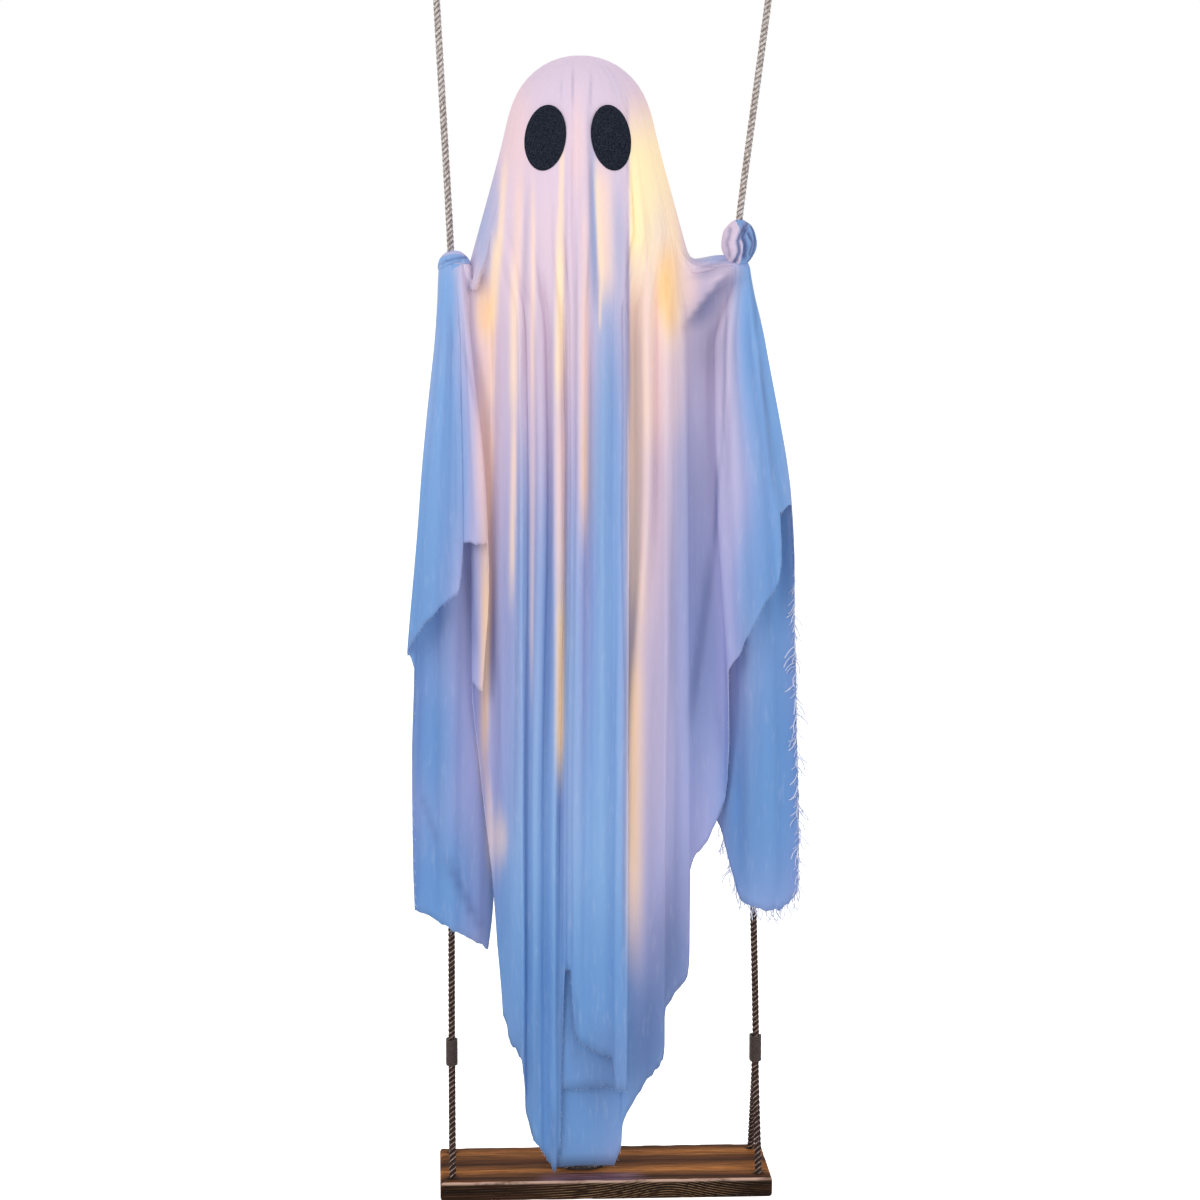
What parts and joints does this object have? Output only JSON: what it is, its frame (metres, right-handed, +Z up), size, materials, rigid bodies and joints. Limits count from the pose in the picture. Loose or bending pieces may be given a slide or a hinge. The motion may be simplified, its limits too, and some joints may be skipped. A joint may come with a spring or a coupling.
{
  "type": "hanging ghost decoration",
  "caption": "Draped cloth ghost standing on a rope swing, its sleeves tied to the ropes and a battery light inside, hung from steel rings.",
  "frame": {"origin": "on the swing axis, halfway between the bars of the two hanging rings", "axes": "+Z up, +X to the ghost's left-hand side as seen from the front (right in the picture), -Y toward the viewer; the swing axis is X"},
  "size_m": [0.5264, 0.2307, 1.8271],
  "materials": {
    "ring_steel": "zinc-plated, satin",
    "rope": "twisted fibre, matte",
    "binding": "dark waxed twine, matte",
    "seat_wood": "dark stained and worn, satin",
    "flange_steel": "blackened, satin",
    "screw_steel": "zinc-plated, satin",
    "post_wood": "plain planed, matte",
    "ball_foam": "white foam, matte",
    "sheet_cloth": "thin woven cotton, blue-lavender, matte",
    "eye_felt": "black felt, matte",
    "case_plastic": "white moulded, satin",
    "cell_jacket": "plain dark jacket, satin",
    "switch_plastic": "black moulded, satin",
    "wire_coat": "copper-coloured lacquer, gloss",
    "light_bead": "clear resin bead lit warm white, gloss"
  },
  "bodies": {
    "hangers": {"left_hang_ring": "ring_steel", "right_hang_ring": "ring_steel"},
    "swing": {"left_rope": "rope", "right_rope": "rope", "left_upper_binding": "binding", "right_upper_binding": "binding", "left_lower_binding": "binding", "right_lower_binding": "binding", "seat_board": "seat_wood", "post_flange": "flange_steel", "flange_screw_1": "screw_steel", "flange_screw_2": "screw_steel", "flange_screw_3": "screw_steel", "flange_screw_4": "screw_steel", "cover_screw": "screw_steel", "support_post": "post_wood", "head_ball": "ball_foam", "ghost_sheet": "sheet_cloth", "left_eye": "eye_felt", "right_eye": "eye_felt", "battery_case": "case_plastic", "battery_cover": "case_plastic", "cell_1": "cell_jacket", "cell_2": "cell_jacket", "cell_3": "cell_jacket", "light_wire": "wire_coat", "light_bead_1": "light_bead", "light_bead_2": "light_bead", "light_bead_3": "light_bead", "light_bead_4": "light_bead", "light_bead_5": "light_bead", "light_bead_6": "light_bead"},
    "switch": {"switch_slider": "switch_plastic"}
  },
  "joints": [
    {"name": "swing_hinge", "type": "hinge", "parent": "hangers", "child": "swing", "pos_m": [0, 0, 0], "axis": [1, 0, 0], "range_deg": [-30, 30]},
    {"name": "switch_slide", "type": "slide", "parent": "swing", "child": "switch", "axis": [1, 0, 0], "range_m": [0, 0.003]}
  ]
}
